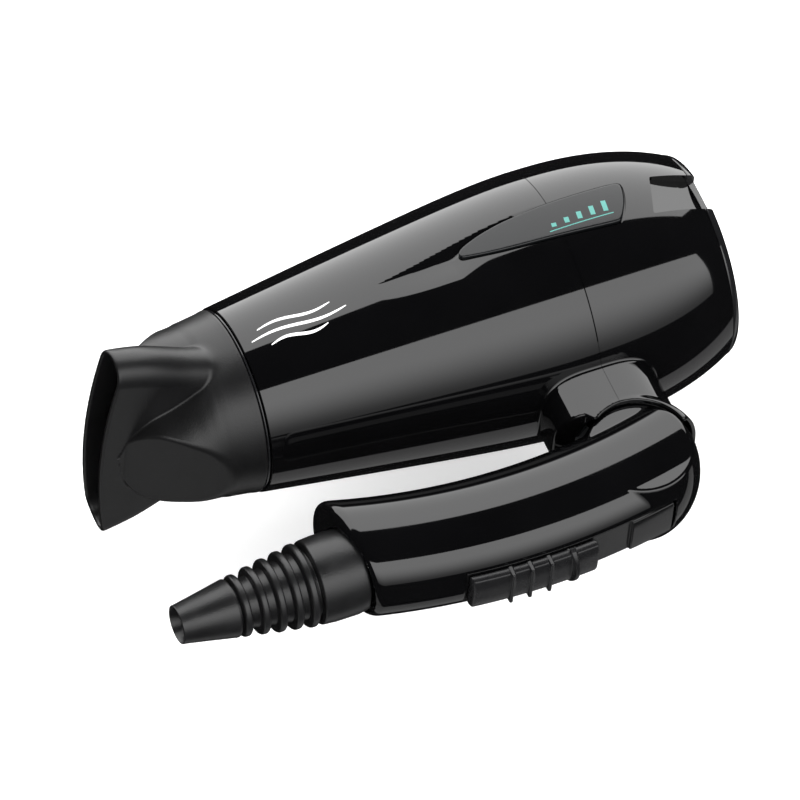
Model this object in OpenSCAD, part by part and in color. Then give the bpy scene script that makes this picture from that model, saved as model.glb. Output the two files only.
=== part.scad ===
// Folding travel hair dryer, lying on its side with the handle folded.
// Design axes: x along the barrel (front is -x), z from handle to barrel, y across.
// place() lays the design on its side: X = x, Y = z, Z = -y.

/* [Barrel] */
// Largest diameter of the barrel, at the seam between the shells
barrel_d = 80; // [79:0.5:81]
// Wall thickness of the moulded shells
wall = 2; // [1.6:0.1:2.2]
// Half thickness of the dark side inlays
inlay_t = 0.9; // [0.6:0.1:1.0]

/* [Nozzle] */
// Width of the slot at the lips, outside
slot_w = 86; // [80:1:88]
// Height of the slot at the lips, outside
slot_h = 13.4; // [11:0.2:16]
// Wall thickness of the nozzle
nozzle_wall = 1.5; // [1.2:0.1:1.8]

/* [Handle] */
// Half height of the handle section
grip_h = 17; // [16.8:0.1:17.2]
// Half width of the handle section
grip_w = 15.7; // [15.5:0.1:15.9]
// Bore of the cord strain relief
cord_bore_r = 3.8; // [3:0.1:4.2]
// Height of the thumb fin above the handle centreline arc
fin_r = 22; // [21:0.2:22.4]

/* [Fan and heater] */
// Fan tip radius
fan_r = 28; // [26:0.5:28]
// Number of fan blades
fan_blades = 9; // [5:1:11]
// Pitch of the heating coil
coil_pitch = 7; // [6:0.5:9]

/* [Hidden] */
$fn = 64;

x_front = -101.3;      // front rim of the front shell
x_rear = 46.3;         // rear rim of the rear shell
x_back = 49;           // rear face of the inlet grille
x_tip = -149;          // tip of the strain relief
piv_z = -66;           // hinge axis height
arc_x = -40;           // centre of the handle's centreline arc
arc_z = 133.4;
arc_r = 205;
rel_z = -68;           // strain relief axis height
fin_a = -87.8;         // arc angle of the thumb fin
place_x = -(x_back + x_tip) / 2;
place_y = -(barrel_d / 2 + arc_z + (arc_r + fin_r) * sin(fin_a - 0.25)) / 2;
place_z = slot_w / 2;

// ---- profiles -------------------------------------------------------------
function barrel_r(x) = x < 0
    ? barrel_d / 2 - 0.1386 * (sqrt(x * x + 400) - 20)
    : barrel_d / 2 * sqrt(1 - pow(x / 69.2, 2.4));
function seq(a, b, n) = [for (i = [0:n]) a + (b - a) * i / n];
function drum_r(y, g = 0) = (19.5 + g) * sqrt(1 - pow(y / 24.6, 2));
function arc_a(x, r) = -90 + asin((x - arc_x) / r);

// ---- helpers --------------------------------------------------------------
module place() translate([place_x, place_y, place_z]) rotate([-90, 0, 0]) children();
// revolve about the barrel axis; profile points are [radius, x]
module xrev() rotate([0, 90, 0]) rotate_extrude() children();
// the same about the strain relief axis
module rrev() translate([0, 0, rel_z]) rotate([0, 90, 0]) rotate_extrude() children();
// revolve about the hinge axis; profile points are [radius, -y]
module yrev() translate([0, 0, piv_z]) rotate([90, 0, 0]) rotate_extrude() children();
// sweep a section round the handle arc between two angles
module arc(a0, a1) translate([arc_x, 0, arc_z]) rotate([90, 0, 0]) rotate([0, 0, a0])
    rotate_extrude(angle = a1 - a0) children();
// rectangular band on the handle arc, from radius r0 to r1 and of half width w
module band(x0, x1, r0, r1, w) arc(arc_a(x0, arc_r + r1), arc_a(x1, arc_r + r1))
    translate([arc_r + r0, -w]) square([r1 - r0, 2 * w]);
// wedge of the hinge drum between two angles, for cutting
module sector(a0, a1, r, w) translate([0, w, piv_z]) rotate([90, 0, 0]) rotate([0, 0, a0])
    rotate_extrude(angle = a1 - a0) square([r, 2 * w]);
module round_rect(x0, x1, w, r) union() {
    translate([x0 + r, -w]) square([x1 - x0 - 2 * r, 2 * w]);
    translate([x0, -w + r]) square([x1 - x0, 2 * (w - r)]);
    for (x = [x0 + r, x1 - r]) for (y = [-w + r, w - r]) translate([x, y]) circle(r = r);
}
// prism across y from a side view drawn in x and z
module side(w) translate([0, w, 0]) rotate([90, 0, 0]) linear_extrude(2 * w) children();
module ycyl(x, z, r, y0, y1) translate([x, y1, z]) rotate([90, 0, 0]) cylinder(r = r, h = y1 - y0);
module xcyl(y, z, r, x0, x1) translate([x0, y, z]) rotate([0, 90, 0]) cylinder(r = r, h = x1 - x0);
module half_front() translate([-200, -100, -150]) cube([200, 200, 250]);
module half_rear() translate([0, -100, -150]) cube([200, 200, 250]);

// round tube along a list of points
function dir(P, i) = let (a = P[max(i - 1, 0)], b = P[min(i + 1, len(P) - 1)]) (b - a) / norm(b - a);
function ring(c, t, r, n, up) = let (u0 = cross(t, up), u = u0 / norm(u0), v = cross(t, u))
    [for (k = [0:n - 1]) c + r * cos(360 * k / n) * u + r * sin(360 * k / n) * v];
module tube(P, r, up = [0, 1, 0], n = 8) {
    m = len(P);
    pts = [for (i = [0:m - 1]) each ring(P[i], dir(P, i), r, n, up)];
    faces = concat([[for (k = [n - 1:-1:0]) k]], [[for (k = [0:n - 1]) (m - 1) * n + k]],
        [for (i = [0:m - 2]) for (k = [0:n - 1]) each
            [[i * n + k, i * n + (k + 1) % n, (i + 1) * n + k],
             [i * n + (k + 1) % n, (i + 1) * n + (k + 1) % n, (i + 1) * n + k]]]);
    polyhedron(pts, faces);
}
function spline(P, n = 4) = [for (i = [0:len(P) - 2]) for (j = [0:n - 1])
    let (t = j / n, a = P[max(i - 1, 0)], b = P[i], c = P[i + 1], d = P[min(i + 2, len(P) - 1)])
    0.5 * ((2 * b) + (c - a) * t + (2 * a - 5 * b + 4 * c - d) * t * t + (3 * b - a - 3 * c + d) * t * t * t)];

// ---- barrel shells ----------------------------------------------------------
module barrel_solid(g, x0, x1) xrev() polygon(concat(
    [[0, x0]], [for (x = seq(x0, x1, 24)) [barrel_r(x) - g, x]], [[0, x1]]));
module barrel_wall(x0, x1) xrev() polygon(concat(
    [for (x = seq(x0, x1, 24)) [barrel_r(x), x]], [for (x = seq(x1, x0, 24)) [barrel_r(x) - wall, x]]));

// side view of the neck column, open below for the hinge drum
module neck_side() polygon(concat(
    [[-19.5, -30], [-19.5, -48], [19.05 * cos(126), piv_z + 19.05 * sin(126)]],
    [for (a = seq(126, 36.6, 12)) [15.35 * cos(a), piv_z + 15.35 * sin(a)]],
    [[17.5, -53], [17.5, -30]]));
// solid of the hinge drum grown by g, of half width w
module drum_shape(g, w) yrev() polygon(concat([[0, -w]], [for (y = seq(-w, w, 12)) [drum_r(y, g), y]], [[0, w]]));
module neck_outer() {
    intersection() {
        side(15.7) neck_side();
        translate([0, 0, -80]) linear_extrude(55) round_rect(-19.5, 17.5, 15.7, 9.5);
    }
    // hood over the hinge drum
    intersection() { drum_shape(2.3, 15.7); sector(12.5, 60, 45, 30); }
}
module neck_hollow() {
    translate([0, 0, -62]) linear_extrude(34) round_rect(-17.5, 15.5, 13.7, 7.5);
    // room for the hinge drum
    drum_shape(0.7, 13.7);
    ycyl(0, piv_z, 15.35, -20, 20);
}
// finger recess on each side, open at the rear rim
module scoops(g) for (s = [0, 1]) mirror([0, s, 0]) intersection() {
    translate([0, 0, -20]) linear_extrude(40)
        polygon([[26, 37.7 - g], [50.1, 25.02 - g], [50.1, 45], [26, 45]]);
    translate([0, 46, 0]) rotate([90, 0, 0]) linear_extrude(36)
        polygon([[33.8 - 1.1 * g, 9 + g], [50.2, 8.4 + g], [50.2, -5 - g], [29.1 - 1.1 * g, -4.8 - g]]);
}
// leaf outline of the side inlay, drawn in x and z
module leaf() polygon([[-31.2, 1.3], [-30.4, 2.6], [-25.8, 4.6], [-18, 6.5], [-8.5, 7.6], [0.5, 8.2], [12.2, 8.5],
    [22.6, 8.6], [23.6, 7.6], [23, 4], [21.6, 0.2], [19.3, -3.7], [18.4, -4.7], [17.4, -5],
    [-2, -4], [-18.6, -2.4], [-28.2, -0.6], [-30.8, 0.2]]);
module leaf_skin(s, r_out, r_in) intersection() {
    difference() { barrel_solid(-r_out, -36, 30); barrel_solid(r_in, -36.1, 30.1); }
    mirror([0, s, 0]) translate([0, -20, 0]) rotate([90, 0, 0]) linear_extrude(25) leaf();
}
module inlay_pockets() for (s = [0, 1]) leaf_skin(s, 1, inlay_t + 0.05);

boss = [for (a = [90, 210, 330]) [33.9 * cos(a), 33.9 * sin(a)]];

module front_shell() color("#0c0c0d") difference() {
    union() {
        difference() {
            union() {
                barrel_solid(0, x_front, 0);
                intersection() { neck_outer(); half_front(); }
            }
            barrel_solid(wall, x_front - 0.1, 0.1);
        }
        // tongue that locates the rear shell
        difference() {
            xrev() polygon([[36.4, -6], [38.4, -6], [38.4, -2.5], [barrel_d / 2 - wall - 0.2, -2.5],
                            [barrel_d / 2 - wall - 0.2, 3], [36.4, 3]]);
            translate([-10, -16, -45]) cube([20, 32, 20]);
        }
        for (b = boss) xcyl(b[0], b[1], 2.8, -16, 3);
    }
    neck_hollow();
    inlay_pockets();
    for (b = boss) xcyl(b[0], b[1], 1.5, -14, 4);
}

module rear_shell() color("#0c0c0d") difference() {
    union() {
        barrel_solid(0, 0, x_rear);
        intersection() { neck_outer(); half_rear(); }
    }
    scoops(0);
    difference() { barrel_solid(wall, -0.1, x_rear + 0.01); scoops(wall); rear_bosses(); }
    neck_hollow();
    inlay_pockets();
    for (b = boss) { xcyl(b[0], b[1], 1.7, 3, 40); xcyl(b[0], b[1], 2.95, -1, 3.1); }
    for (b = boss) xcyl(b[0], b[1], 2.7, 14, 50);
}
module rear_bosses() for (b = boss) xcyl(b[0], b[1], 4, 3.2, 24);

module side_inlay_right() color("#2a2b2d") leaf_skin(0, -0.02, inlay_t);
module side_inlay_left() color("#2a2b2d") leaf_skin(1, -0.02, inlay_t);

module shell_screws() color("silver") for (b = boss) {
    xcyl(b[0], b[1], 1.45, -12, 14.1);
    xcyl(b[0], b[1], 2.5, 14.05, 16);
}

// ---- air path and heater ------------------------------------------------------
module outlet_ring() color("#151515") {
    xrev() polygon([[20.6, -111], [22.2, -111], [22.95, -110.2], [22.95, -101.4], [26.4, -101.4],
                    [26.4, -98.6], [23.5, -98.6], [23.5, -97.2], [20.6, -97.2]]);
    intersection() {
        xcyl(0, 0, 20.8, -109, -106.6);
        union() {
            for (z = [-14, -7, 0, 7, 14]) translate([-109, -22, z - 0.6]) cube([2.4, 44, 1.2]);
            translate([-109, -0.8, -22]) cube([2.4, 1.6, 44]);
        }
    }
}
module mica_tube() color("#c9b48a") xrev() polygon([[25, -96.8], [25.5, -96.8], [25.5, -34], [25, -34]]);

coil_r = 20.5;
coil_x0 = -87;
coil_turns = 6;
module coil_holes(vertical) for (k = [0:coil_turns * 2]) let (x = coil_x0 + coil_pitch * k / 2 + (vertical ? coil_pitch / 4 : 0), q = k % 2 == 0 ? 1 : -1)
    if (x < coil_x0 + coil_pitch * coil_turns + 0.5)
        if (vertical) translate([x, -3, q * coil_r]) rotate([-90, 0, 0]) cylinder(r = 1.7, h = 6);
        else translate([x, q * coil_r, -3]) cylinder(r = 1.7, h = 6);
module mica_board_horizontal() color("#cdb98f") difference() {
    translate([-94, -24.8, -0.4]) cube([58, 49.6, 0.8]);
    translate([-66, -0.5, -1]) cube([31, 1, 2]);
    coil_holes(false);
}
module mica_board_vertical() color("#cdb98f") difference() {
    translate([-94, -0.4, -24.8]) cube([58, 0.8, 49.6]);
    translate([-95, -1, -0.5]) cube([29.2, 2, 1]);
    coil_holes(true);
}
module heater_coil() color("#8d8f93")
    tube([for (i = [0:16 * coil_turns]) let (a = 360 * i / 16)
        [coil_x0 + coil_pitch * i / 16, coil_r * cos(a), coil_r * sin(a)]], 1.2, [1, 0, 0], 8);
module thermal_cutout() color("#b9bcc0") {
    translate([-60, 0.45, 6]) cube([12, 3, 7]);
    translate([-58, 0.45, 13]) cube([1, 0.6, 4]);
    translate([-51, 0.45, 13]) cube([1, 0.6, 4]);
}

module fan_duct() color("#e4dfd3") {
    difference() {
        xrev() polygon([[28.7, 31], [29.7, 31], [29.7, 0], [35.9, 0], [35.9, -1.6], [29.7, -1.6], [29.7, -24],
                        [26.9, -30], [26.9, -36], [25.55, -36], [25.55, -29.4], [28.7, -23.4]]);
        // clear the screw bosses
        for (b = boss) xcyl(b[0], b[1], 3.3, -3, 1);
        // clear the hinge bracket, and a slot for each lead
        translate([-3, -13, -37]) cube([4, 26, 5]);
        for (y = [-9, 9]) translate([-21.5, y - 2.2, -34]) cube([10, 4.4, 9]);
    }
    xrev() polygon([[12.55, -20], [14, -20], [14, 12], [12.55, 12]]);
    intersection() {
        xrev() polygon([[13.5, -18], [29, -18], [29, 6], [13.5, 6]]);
        for (i = [0:6]) rotate([i * 360 / 7, 0, 0]) rotate([0, 0, 0]) translate([-6, 0, 22])
            rotate([0, 0, 24]) cube([22, 1.2, 20], center = true);
    }
}
module motor_can() color("#a9acb0") difference() {
    union() { xcyl(0, 0, 12.5, -12, 12.6); xcyl(0, 0, 4, 12.5, 14.4); }
    xcyl(0, 0, 11.5, -12.1, 11.6);
    xcyl(0, 0, 1.05, 11, 15);
}
module motor_end_cap() color("#1d3d2b") difference() {
    union() { xcyl(0, 0, 12.5, -15, -12); xcyl(0, 0, 11.4, -12, -10.5); xcyl(0, 0, 3.2, -17.5, -15); }
    xcyl(0, 0, 1.05, -18, -10);
    xcyl(0, 0, 8.5, -13.4, -10);
}
module motor_magnets() color("#3b3b3d") intersection() {
    difference() { xcyl(0, 0, 11.45, -8, 9); xcyl(0, 0, 8.4, -9, 10); }
    union() { translate([-10, -20, 4]) cube([21, 40, 20]); translate([-10, -20, -24]) cube([21, 40, 20]); }
}
module rectifier_board() color("#27603a") {
    difference() { xcyl(0, 0, 11, -20, -18.6); xcyl(0, 0, 3.4, -21, -18); }
    color("#111111") for (q = [[6, 4], [6, -4], [-6, 4], [-6, -4]]) translate([-22.4, q[0] - 2.2, q[1] - 1.3]) cube([2.4, 4.4, 2.6]);
}

module fan() color("#d9d5cb") {
    difference() {
        union() { xcyl(0, 0, 9, 16, 28); xcyl(0, 0, 5, 28, 30); }
        xcyl(0, 0, 1, 15, 27);
    }
    intersection() {
        xrev() polygon([[8.5, 16.5], [fan_r, 16.5], [fan_r, 28], [8.5, 28]]);
        for (i = [0:fan_blades - 1]) rotate([i * 360 / fan_blades, 0, 0]) translate([22.2, 0, 19])
            rotate([0, 0, 40]) cube([17, 1.1, 24], center = true);
    }
}
module motor_shaft() color("#c7c9cc") xcyl(0, 0, 1, -17, 27);
module armature() color("#8a5a2c") difference() {
    xcyl(0, 0, 7.7, -7, 8);
    xcyl(0, 0, 1, -8, 9);
    for (a = [0, 120, 240]) rotate([a, 0, 0]) translate([-8, -0.8, 5]) cube([17, 1.6, 4]);
}

// ---- hinge bracket and wiring in the barrel -----------------------------------
arm_a = 122;
module hinge_bracket() color("#3a3d40") difference() {
    union() {
        ycyl(0, piv_z, 9.5, -3.5, 3.5);
        side(3.5) polygon([[8 * cos(arm_a + 22), piv_z + 8 * sin(arm_a + 22)],
                           [22 * cos(arm_a + 7), piv_z + 22 * sin(arm_a + 7)], [-17, -45], [-17, -34.5],
                           [-8, -34.5], [-8, -44], [22 * cos(arm_a - 7), piv_z + 22 * sin(arm_a - 7)],
                           [8 * cos(arm_a - 22), piv_z + 8 * sin(arm_a - 22)]]);
        translate([-21, -7.2, -35.8]) cube([40, 14.4, 1.9]);
    }
    ycyl(0, piv_z, 6.05, -5, 5);
}
lead_r = 1.1;
module barrel_leads() color("#7d1f1f") {
    tube(spline([[-24, 8, -23], [-20, 9, -27], [-12, 9, -31.5], [-8, 8.5, -33], [-5, 12.4, -35], [-5, 12.4, -40]]), lead_r, [0, 1, 0.2]);
    tube(spline([[-24, -8, -23], [-20, -9, -27], [-12, -9, -31.5], [-8, -8.5, -33], [-5, -12.4, -35], [-5, -12.4, -40]]), lead_r, [0, 1, 0.2]);
}

// ---- nozzle --------------------------------------------------------------------
module nozzle_collar() color("#1a1a1b") difference() {
    xrev() polygon([[23, -111.4], [24.9, -111.4], [25.2, -111], [24.4, -110.5], [24.4, -102.2], [27.9, -102.2],
                    [27.9, -101.7], [23, -101.7]]);
    for (a = [0:60:300]) rotate([a, 0, 0]) translate([-112, -0.6, 20]) cube([5, 1.2, 8]);
}
module lip_pair(hw, r, x, t = 0.5) for (y = [-hw + r, hw - r]) translate([x, y, 0]) rotate([0, 90, 0]) cylinder(r = r, h = t, $fn = 32);
module nozzle() color("#1c1c1d") difference() {
    intersection() {
        union() {
            xrev() polygon([[24, -112.6], [26.2, -112.6], [26.5, -111], [27.6, -105], [28.2, -102.5], [24, -102.5]]);
            hull() { xcyl(0, 0, 26.2, -113.2, -112.2, $fn = 48); lip_pair(slot_w / 2 - 3.4, 7, -134); }
            hull() { lip_pair(slot_w / 2 - 3.4, 7, -134); lip_pair(slot_w / 2, slot_h / 2, -147); }
        }
        translate([-147 + 233, 0, -40]) cylinder(r = 233, h = 80, $fn = 200);
    }
    hull() { xcyl(0, 0, 24.6, -112.9, -112.1, $fn = 48); lip_pair(slot_w / 2 - 3.4 - nozzle_wall, 7 - nozzle_wall, -133.9); }
    hull() { lip_pair(slot_w / 2 - 3.4 - nozzle_wall, 7 - nozzle_wall, -133.9); lip_pair(slot_w / 2 - nozzle_wall, slot_h / 2 - nozzle_wall, -149); }
    xcyl(0, 0, 24.45, -112.6, -102);
    xcyl(0, 0, 25.4, -112.5, -110.3);
}

// ---- rear inlet -----------------------------------------------------------------
module rear_grille() color("#121213") difference() {
    union() {
        xrev() polygon([[24, x_rear + 0.1], [barrel_r(x_rear) - 0.1, x_rear + 0.1], [30.9, 48], [29.8, x_back], [24, x_back]]);
        xrev() polygon([[26.3, 41], [27.9, 41], [28.4, x_rear + 0.2], [26.3, x_rear + 0.2]]);
        for (r = [4, 8.5, 13, 17.5, 22]) xrev() polygon([[r - 0.8, 46.6], [r + 0.8, 46.6], [r + 0.8, 48.2], [r - 0.8, 48.2]]);
        xcyl(0, 0, 1.9, 46.6, 48.2);
        for (a = [0:60:120]) rotate([a, 0, 0]) translate([46.6, -0.8, -25]) cube([1.6, 1.6, 50]);
    }
    scoops(0);
    // the sleeve stops clear of the finger recesses and the shell screws
    for (s = [0, 1]) mirror([0, s, 0]) translate([40, 21.5, -11.3]) cube([6.35, 10, 22.9]);
}
module inlet_filter() color("#5b5e61") {
    difference() {
        xrev() polygon([[24.4, 44.4], [26.25, 44.4], [26.25, 45.6], [24.4, 45.6]]);
        scoops(wall + 0.3);
    }
    intersection() {
        xcyl(0, 0, 24.6, 44.8, 45.2);
        union() {
            for (i = [-4:4]) translate([44.8, -26, i * 5.2 - 0.3]) cube([0.4, 52, 0.6]);
            for (i = [-4:4]) translate([44.8, i * 5.2 - 0.3, -26]) cube([0.4, 0.6, 52]);
        }
    }
}

// ---- handle ------------------------------------------------------------------------
a_end = -107.6;
a_step = -77.4;
module grip_band(g, x0) intersection() {
    arc(a_end, a_step) translate([arc_r, 0]) round_rect(g - grip_h, grip_h - g, grip_w - g, 12 - g);
    translate([x0, -40, -120]) cube([200, 80, 100]);
}
screw_at = [[-86, -56], [-58, -59], [-16, -79]];
module handle_body() difference() {
    union() {
        difference() {
            union() {
                difference() { grip_band(0, -97); sector(-79, 128, 45, 30); }
                drum_shape(0, 13.4);
                ycyl(0, piv_z, 15, -15.7, 15.7);
            }
            difference() { grip_band(wall, -94.4); sector(-81, 130, 45, 30); ycyl(0, piv_z, 15, -30, -13); ycyl(0, piv_z, 15, 13, 30); }
            drum_shape(-2, 11.4);
        }
        // hollow pivot and screw bosses
        ycyl(0, piv_z, 6, -12, 12);
        intersection() {
            for (p = screw_at) ycyl(p[0], p[1], 3.6, -16, 16);
            grip_band(0.6, -97);
        }
    }
    ycyl(0, piv_z, 4.2, -12, 12);
    // slot for the bracket arm
    difference() { sector(15, 132, 22, 7); ycyl(0, piv_z, 14, -8, 8); }
    // recess for the switch plate, up to the step
    band(-67.5, 6.5, 14, 26, 7.15);
    // strain relief opening
    xcyl(0, rel_z, 10.7, -100, -90);
    for (p = screw_at) {
        ycyl(p[0], p[1], 1.5, -10, 0.1);
        ycyl(p[0], p[1], 1.7, 0, 12);
        ycyl(p[0], p[1], 3.0, 8, 30);
    }
}
module handle_left() color("#0c0c0d") intersection() { handle_body(); translate([-150, 0, -150]) cube([250, 60, 150]); }
module handle_right() color("#0c0c0d") intersection() { handle_body(); translate([-150, -60, -150]) cube([250, 60, 150]); }

module switch_plate() color("#17181a") difference() {
    union() {
        band(-65.4, 3.4, 14.1, 15.7, 7);
        band(-10.8, 3.4, 15.6, 16.9, 7);
    }
    band(-47.5, -27, 13, 20, 2);
    band(-16.5, -11.5, 13, 20, 3.2);
    sector(-78, 128, 60, 30);
}
module switch_unit() color("#24262a") {
    translate([-49, -6, -82.9]) cube([24, 12, 9]);
    color("#c9a25a") for (x = [-46, -37, -28]) translate([x - 0.4, -2, -74]) cube([0.8, 4, 5]);
}
module switch_slider() color("#17181a") {
    band(-63, -23, 16.05, 18.4, 6.6);
    band(-45.5, -41.5, 11.8, 16.2, 1.6);
    for (x = [-51, -45, -38.8]) band(x - 0.6, x + 0.6, 18.3, 19.3, 6.6);
    // thumb fin, a crescent standing across the slider
    intersection() {
        arc(fin_a - 0.25, fin_a + 0.25) translate([arc_r + 18.3, -6.6]) square([fin_r - 18.3, 13.2]);
        arc(fin_a - 2, fin_a + 2) translate([arc_r + fin_r - 9.5, 0]) circle(r = 9.5);
    }
}
module handle_screws() color("silver") for (p = screw_at) {
    ycyl(p[0], p[1], 1.4, -8, 8.2);
    ycyl(p[0], p[1], 2.6, 8.1, 9.9);
}
module cord_clamp() color("#2e3033") difference() {
    translate([-88, -9, -68 + 3.9]) cube([6, 18, 2.6]);
    for (y = [-6.5, 6.5]) translate([-85, y, -65]) cylinder(r = 1.3, h = 5);
}
module clamp_screws() color("silver") for (y = [-6.5, 6.5]) {
    translate([-85, y, -68.5]) cylinder(r = 1.2, h = 7.2);
    translate([-85, y, -61.4]) cylinder(r = 2.3, h = 1.5);
}
// strain relief: collar, five ribs on a tapering core, smooth tip with a flared mouth
rib_x = [-109.2, -114, -119, -124, -129.3];
rib_r = [12.8, 12, 11.3, 10.4, 9.5];
module strain_relief() color("#1b1b1c") difference() {
    union() {
        rrev() polygon([[0, -91.4], [11.6, -91.4], [11.6, -94.2], [10.55, -94.2], [10.55, -97.2], [13.2, -97.2], [13.5, -98],
                        [13.2, -106.5], [10.4, -107.6], [6.8, -131], [9, -131.6], [9, -132.4], [6.1, -148.2],
                        [6.3, x_tip], [0, x_tip]]);
        for (i = [0:4]) rrev() polygon([[0, rib_x[i] - 1.2], [rib_r[i] - 0.6, rib_x[i] - 1.2], [rib_r[i], rib_x[i] - 0.6],
                                        [rib_r[i], rib_x[i] + 0.6], [rib_r[i] - 0.6, rib_x[i] + 1.2], [0, rib_x[i] + 1.2]]);
    }
    xcyl(0, rel_z, cord_bore_r, -150, -90);
    rrev() polygon([[0, -144], [cord_bore_r - 0.01, -144], [5.5, x_tip + 0.01], [5.6, x_tip - 1], [0, x_tip - 1]]);
}
module handle_leads() color("#7d1f1f") {
    tube(spline([[-90, 2, -68], [-82, 3.5, -68], [-74, 4.5, -70], [-62, 3, -72.5], [-52, 2.5, -78], [-50, 2.5, -79.5]]), lead_r);
    tube(spline([[-90, -2, -68], [-80, -4, -67], [-66, -5, -66], [-48, -5, -67], [-34, -5, -68], [-24, -5, -70], [-16, -4, -68.5]]), lead_r);
}

place() front_shell();
place() rear_shell();
place() side_inlay_left();
place() side_inlay_right();
place() outlet_ring();
place() mica_tube();
place() mica_board_vertical();
place() mica_board_horizontal();
place() heater_coil();
place() thermal_cutout();
place() fan_duct();
place() motor_can();
place() motor_end_cap();
place() motor_magnets();
place() rectifier_board();
place() shell_screws();
place() hinge_bracket();
place() barrel_leads();
place() nozzle_collar();
place() nozzle();
place() rear_grille();
place() inlet_filter();
place() fan();
place() motor_shaft();
place() armature();
place() handle_left();
place() handle_right();
place() switch_plate();
place() switch_unit();
place() cord_clamp();
place() clamp_screws();
place() handle_screws();
place() strain_relief();
place() handle_leads();
place() switch_slider();
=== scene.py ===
import math

import bmesh
import bpy
import numpy as np
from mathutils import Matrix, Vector


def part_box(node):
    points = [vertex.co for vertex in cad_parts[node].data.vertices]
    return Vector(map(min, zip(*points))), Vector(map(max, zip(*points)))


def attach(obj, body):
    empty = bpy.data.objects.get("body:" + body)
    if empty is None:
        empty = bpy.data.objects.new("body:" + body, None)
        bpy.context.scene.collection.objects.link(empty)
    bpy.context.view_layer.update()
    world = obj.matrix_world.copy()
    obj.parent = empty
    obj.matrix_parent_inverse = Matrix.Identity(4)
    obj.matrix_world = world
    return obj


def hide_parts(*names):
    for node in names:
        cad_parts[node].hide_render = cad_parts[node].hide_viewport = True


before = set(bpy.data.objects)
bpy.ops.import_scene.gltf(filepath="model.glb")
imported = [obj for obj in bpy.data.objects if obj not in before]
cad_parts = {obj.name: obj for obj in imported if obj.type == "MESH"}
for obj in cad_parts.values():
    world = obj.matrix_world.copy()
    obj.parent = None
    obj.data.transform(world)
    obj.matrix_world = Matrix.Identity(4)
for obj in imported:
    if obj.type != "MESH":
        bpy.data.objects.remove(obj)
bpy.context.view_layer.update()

# ---- design frame: x along the barrel, y across, z from handle to barrel, in millimetres ----
_lo, _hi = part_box("motor_shaft")
OX = (_lo.x + _hi.x) * 500 - 5
PY = (_lo.y + _hi.y) * 500
OZ = (_lo.z + _hi.z) * 500


def to_row(P):
    P = np.asarray(P, float)
    return np.stack([(P[:, 0] + OX), (P[:, 2] + PY), (OZ - P[:, 1])], 1) / 1000


def to_design(P):
    P = np.asarray(P, float) * 1000
    return np.stack([P[:, 0] - OX, OZ - P[:, 2], P[:, 1] - PY], 1)


def vec_row(V):
    return np.stack([V[:, 0], V[:, 2], -V[:, 1]], 1)


def make(name, V, F, smooth=True):
    """mesh object from design-frame vertices"""
    me = bpy.data.meshes.new(name)
    me.from_pydata(to_row(V).tolist(), [], [list(map(int, f)) for f in F])
    me.validate()
    me.polygons.foreach_set("use_smooth", [smooth] * len(me.polygons))
    ob = bpy.data.objects.new(name, me)
    bpy.context.scene.collection.objects.link(ob)
    return ob


def remove(ob):
    me = ob.data
    bpy.data.objects.remove(ob)
    if me and me.users == 0:
        bpy.data.meshes.remove(me)


def join(name, *obs):
    """joins objects, keeping the custom normals"""
    bpy.ops.object.select_all(action="DESELECT")
    for o in obs:
        o.select_set(True)
    bpy.context.view_layer.objects.active = obs[0]
    bpy.ops.object.join()
    obs[0].name = name
    obs[0].data.name = name
    return obs[0]


def boolean(ob, cutter, op="DIFFERENCE", keep=False):
    m = ob.modifiers.new("b", "BOOLEAN")
    m.operation = op
    m.solver = "EXACT"
    m.object = cutter
    bpy.context.view_layer.update()
    dg = bpy.context.evaluated_depsgraph_get()
    me = bpy.data.meshes.new_from_object(ob.evaluated_get(dg))
    ob.modifiers.clear()
    old = ob.data
    ob.data = me
    me.name = ob.name
    bpy.data.meshes.remove(old)
    if not keep:
        remove(cutter)
    return ob


def outward(ob):
    bm = bmesh.new()
    bm.from_mesh(ob.data)
    bmesh.ops.recalc_face_normals(bm, faces=bm.faces)
    bm.to_mesh(ob.data)
    bm.free()


def field_grad(f, P, e=0.02):
    g = np.empty_like(P)
    for k in range(3):
        d = np.zeros(3)
        d[k] = e
        g[:, k] = (f(P + d) - f(P - d)) / (2 * e)
    return g


def shade_by_field(ob, f, tol=0.03, angle=0.80):
    """normals from the field where a face lies on its surface, flat elsewhere"""
    me = ob.data
    n = len(me.vertices)
    co = np.empty(n * 3)
    me.vertices.foreach_get("co", co)
    P = to_design(co.reshape(-1, 3))
    val = np.abs(f(P))
    g = field_grad(f, P)
    length = np.linalg.norm(g, axis=1, keepdims=True)
    N = vec_row(g / np.maximum(length, 1e-9))
    on = val / np.maximum(length[:, 0], 1e-9) < tol
    m = len(me.polygons)
    fn = np.empty(m * 3)
    me.polygons.foreach_get("normal", fn)
    fn = fn.reshape(-1, 3)
    starts = np.empty(m, int)
    me.polygons.foreach_get("loop_start", starts)
    totals = np.empty(m, int)
    me.polygons.foreach_get("loop_total", totals)
    lv = np.empty(len(me.loops), int)
    me.loops.foreach_get("vertex_index", lv)
    lf = np.repeat(np.arange(m), totals)
    LN = N[lv]
    FN = fn[lf]
    dots = (LN * FN).sum(1)
    good = on[lv] & (dots > angle)
    fc = np.empty(m * 3)
    me.polygons.foreach_get("center", fc)
    C = to_design(fc.reshape(-1, 3))
    off = np.abs(f(C)) > np.maximum(tol, 0.09)
    bad_face = off.copy()
    np.logical_or.at(bad_face, lf, ~good)
    out = np.where(bad_face[lf][:, None], FN, LN)
    me.polygons.foreach_set("use_smooth", [True] * m)
    me.normals_split_custom_set(out.tolist())
    me.update()


def smax(a, b, k):
    h = np.maximum(k - np.abs(a - b), 0) / k
    return np.maximum(a, b) + h * h * k * 0.25


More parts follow.
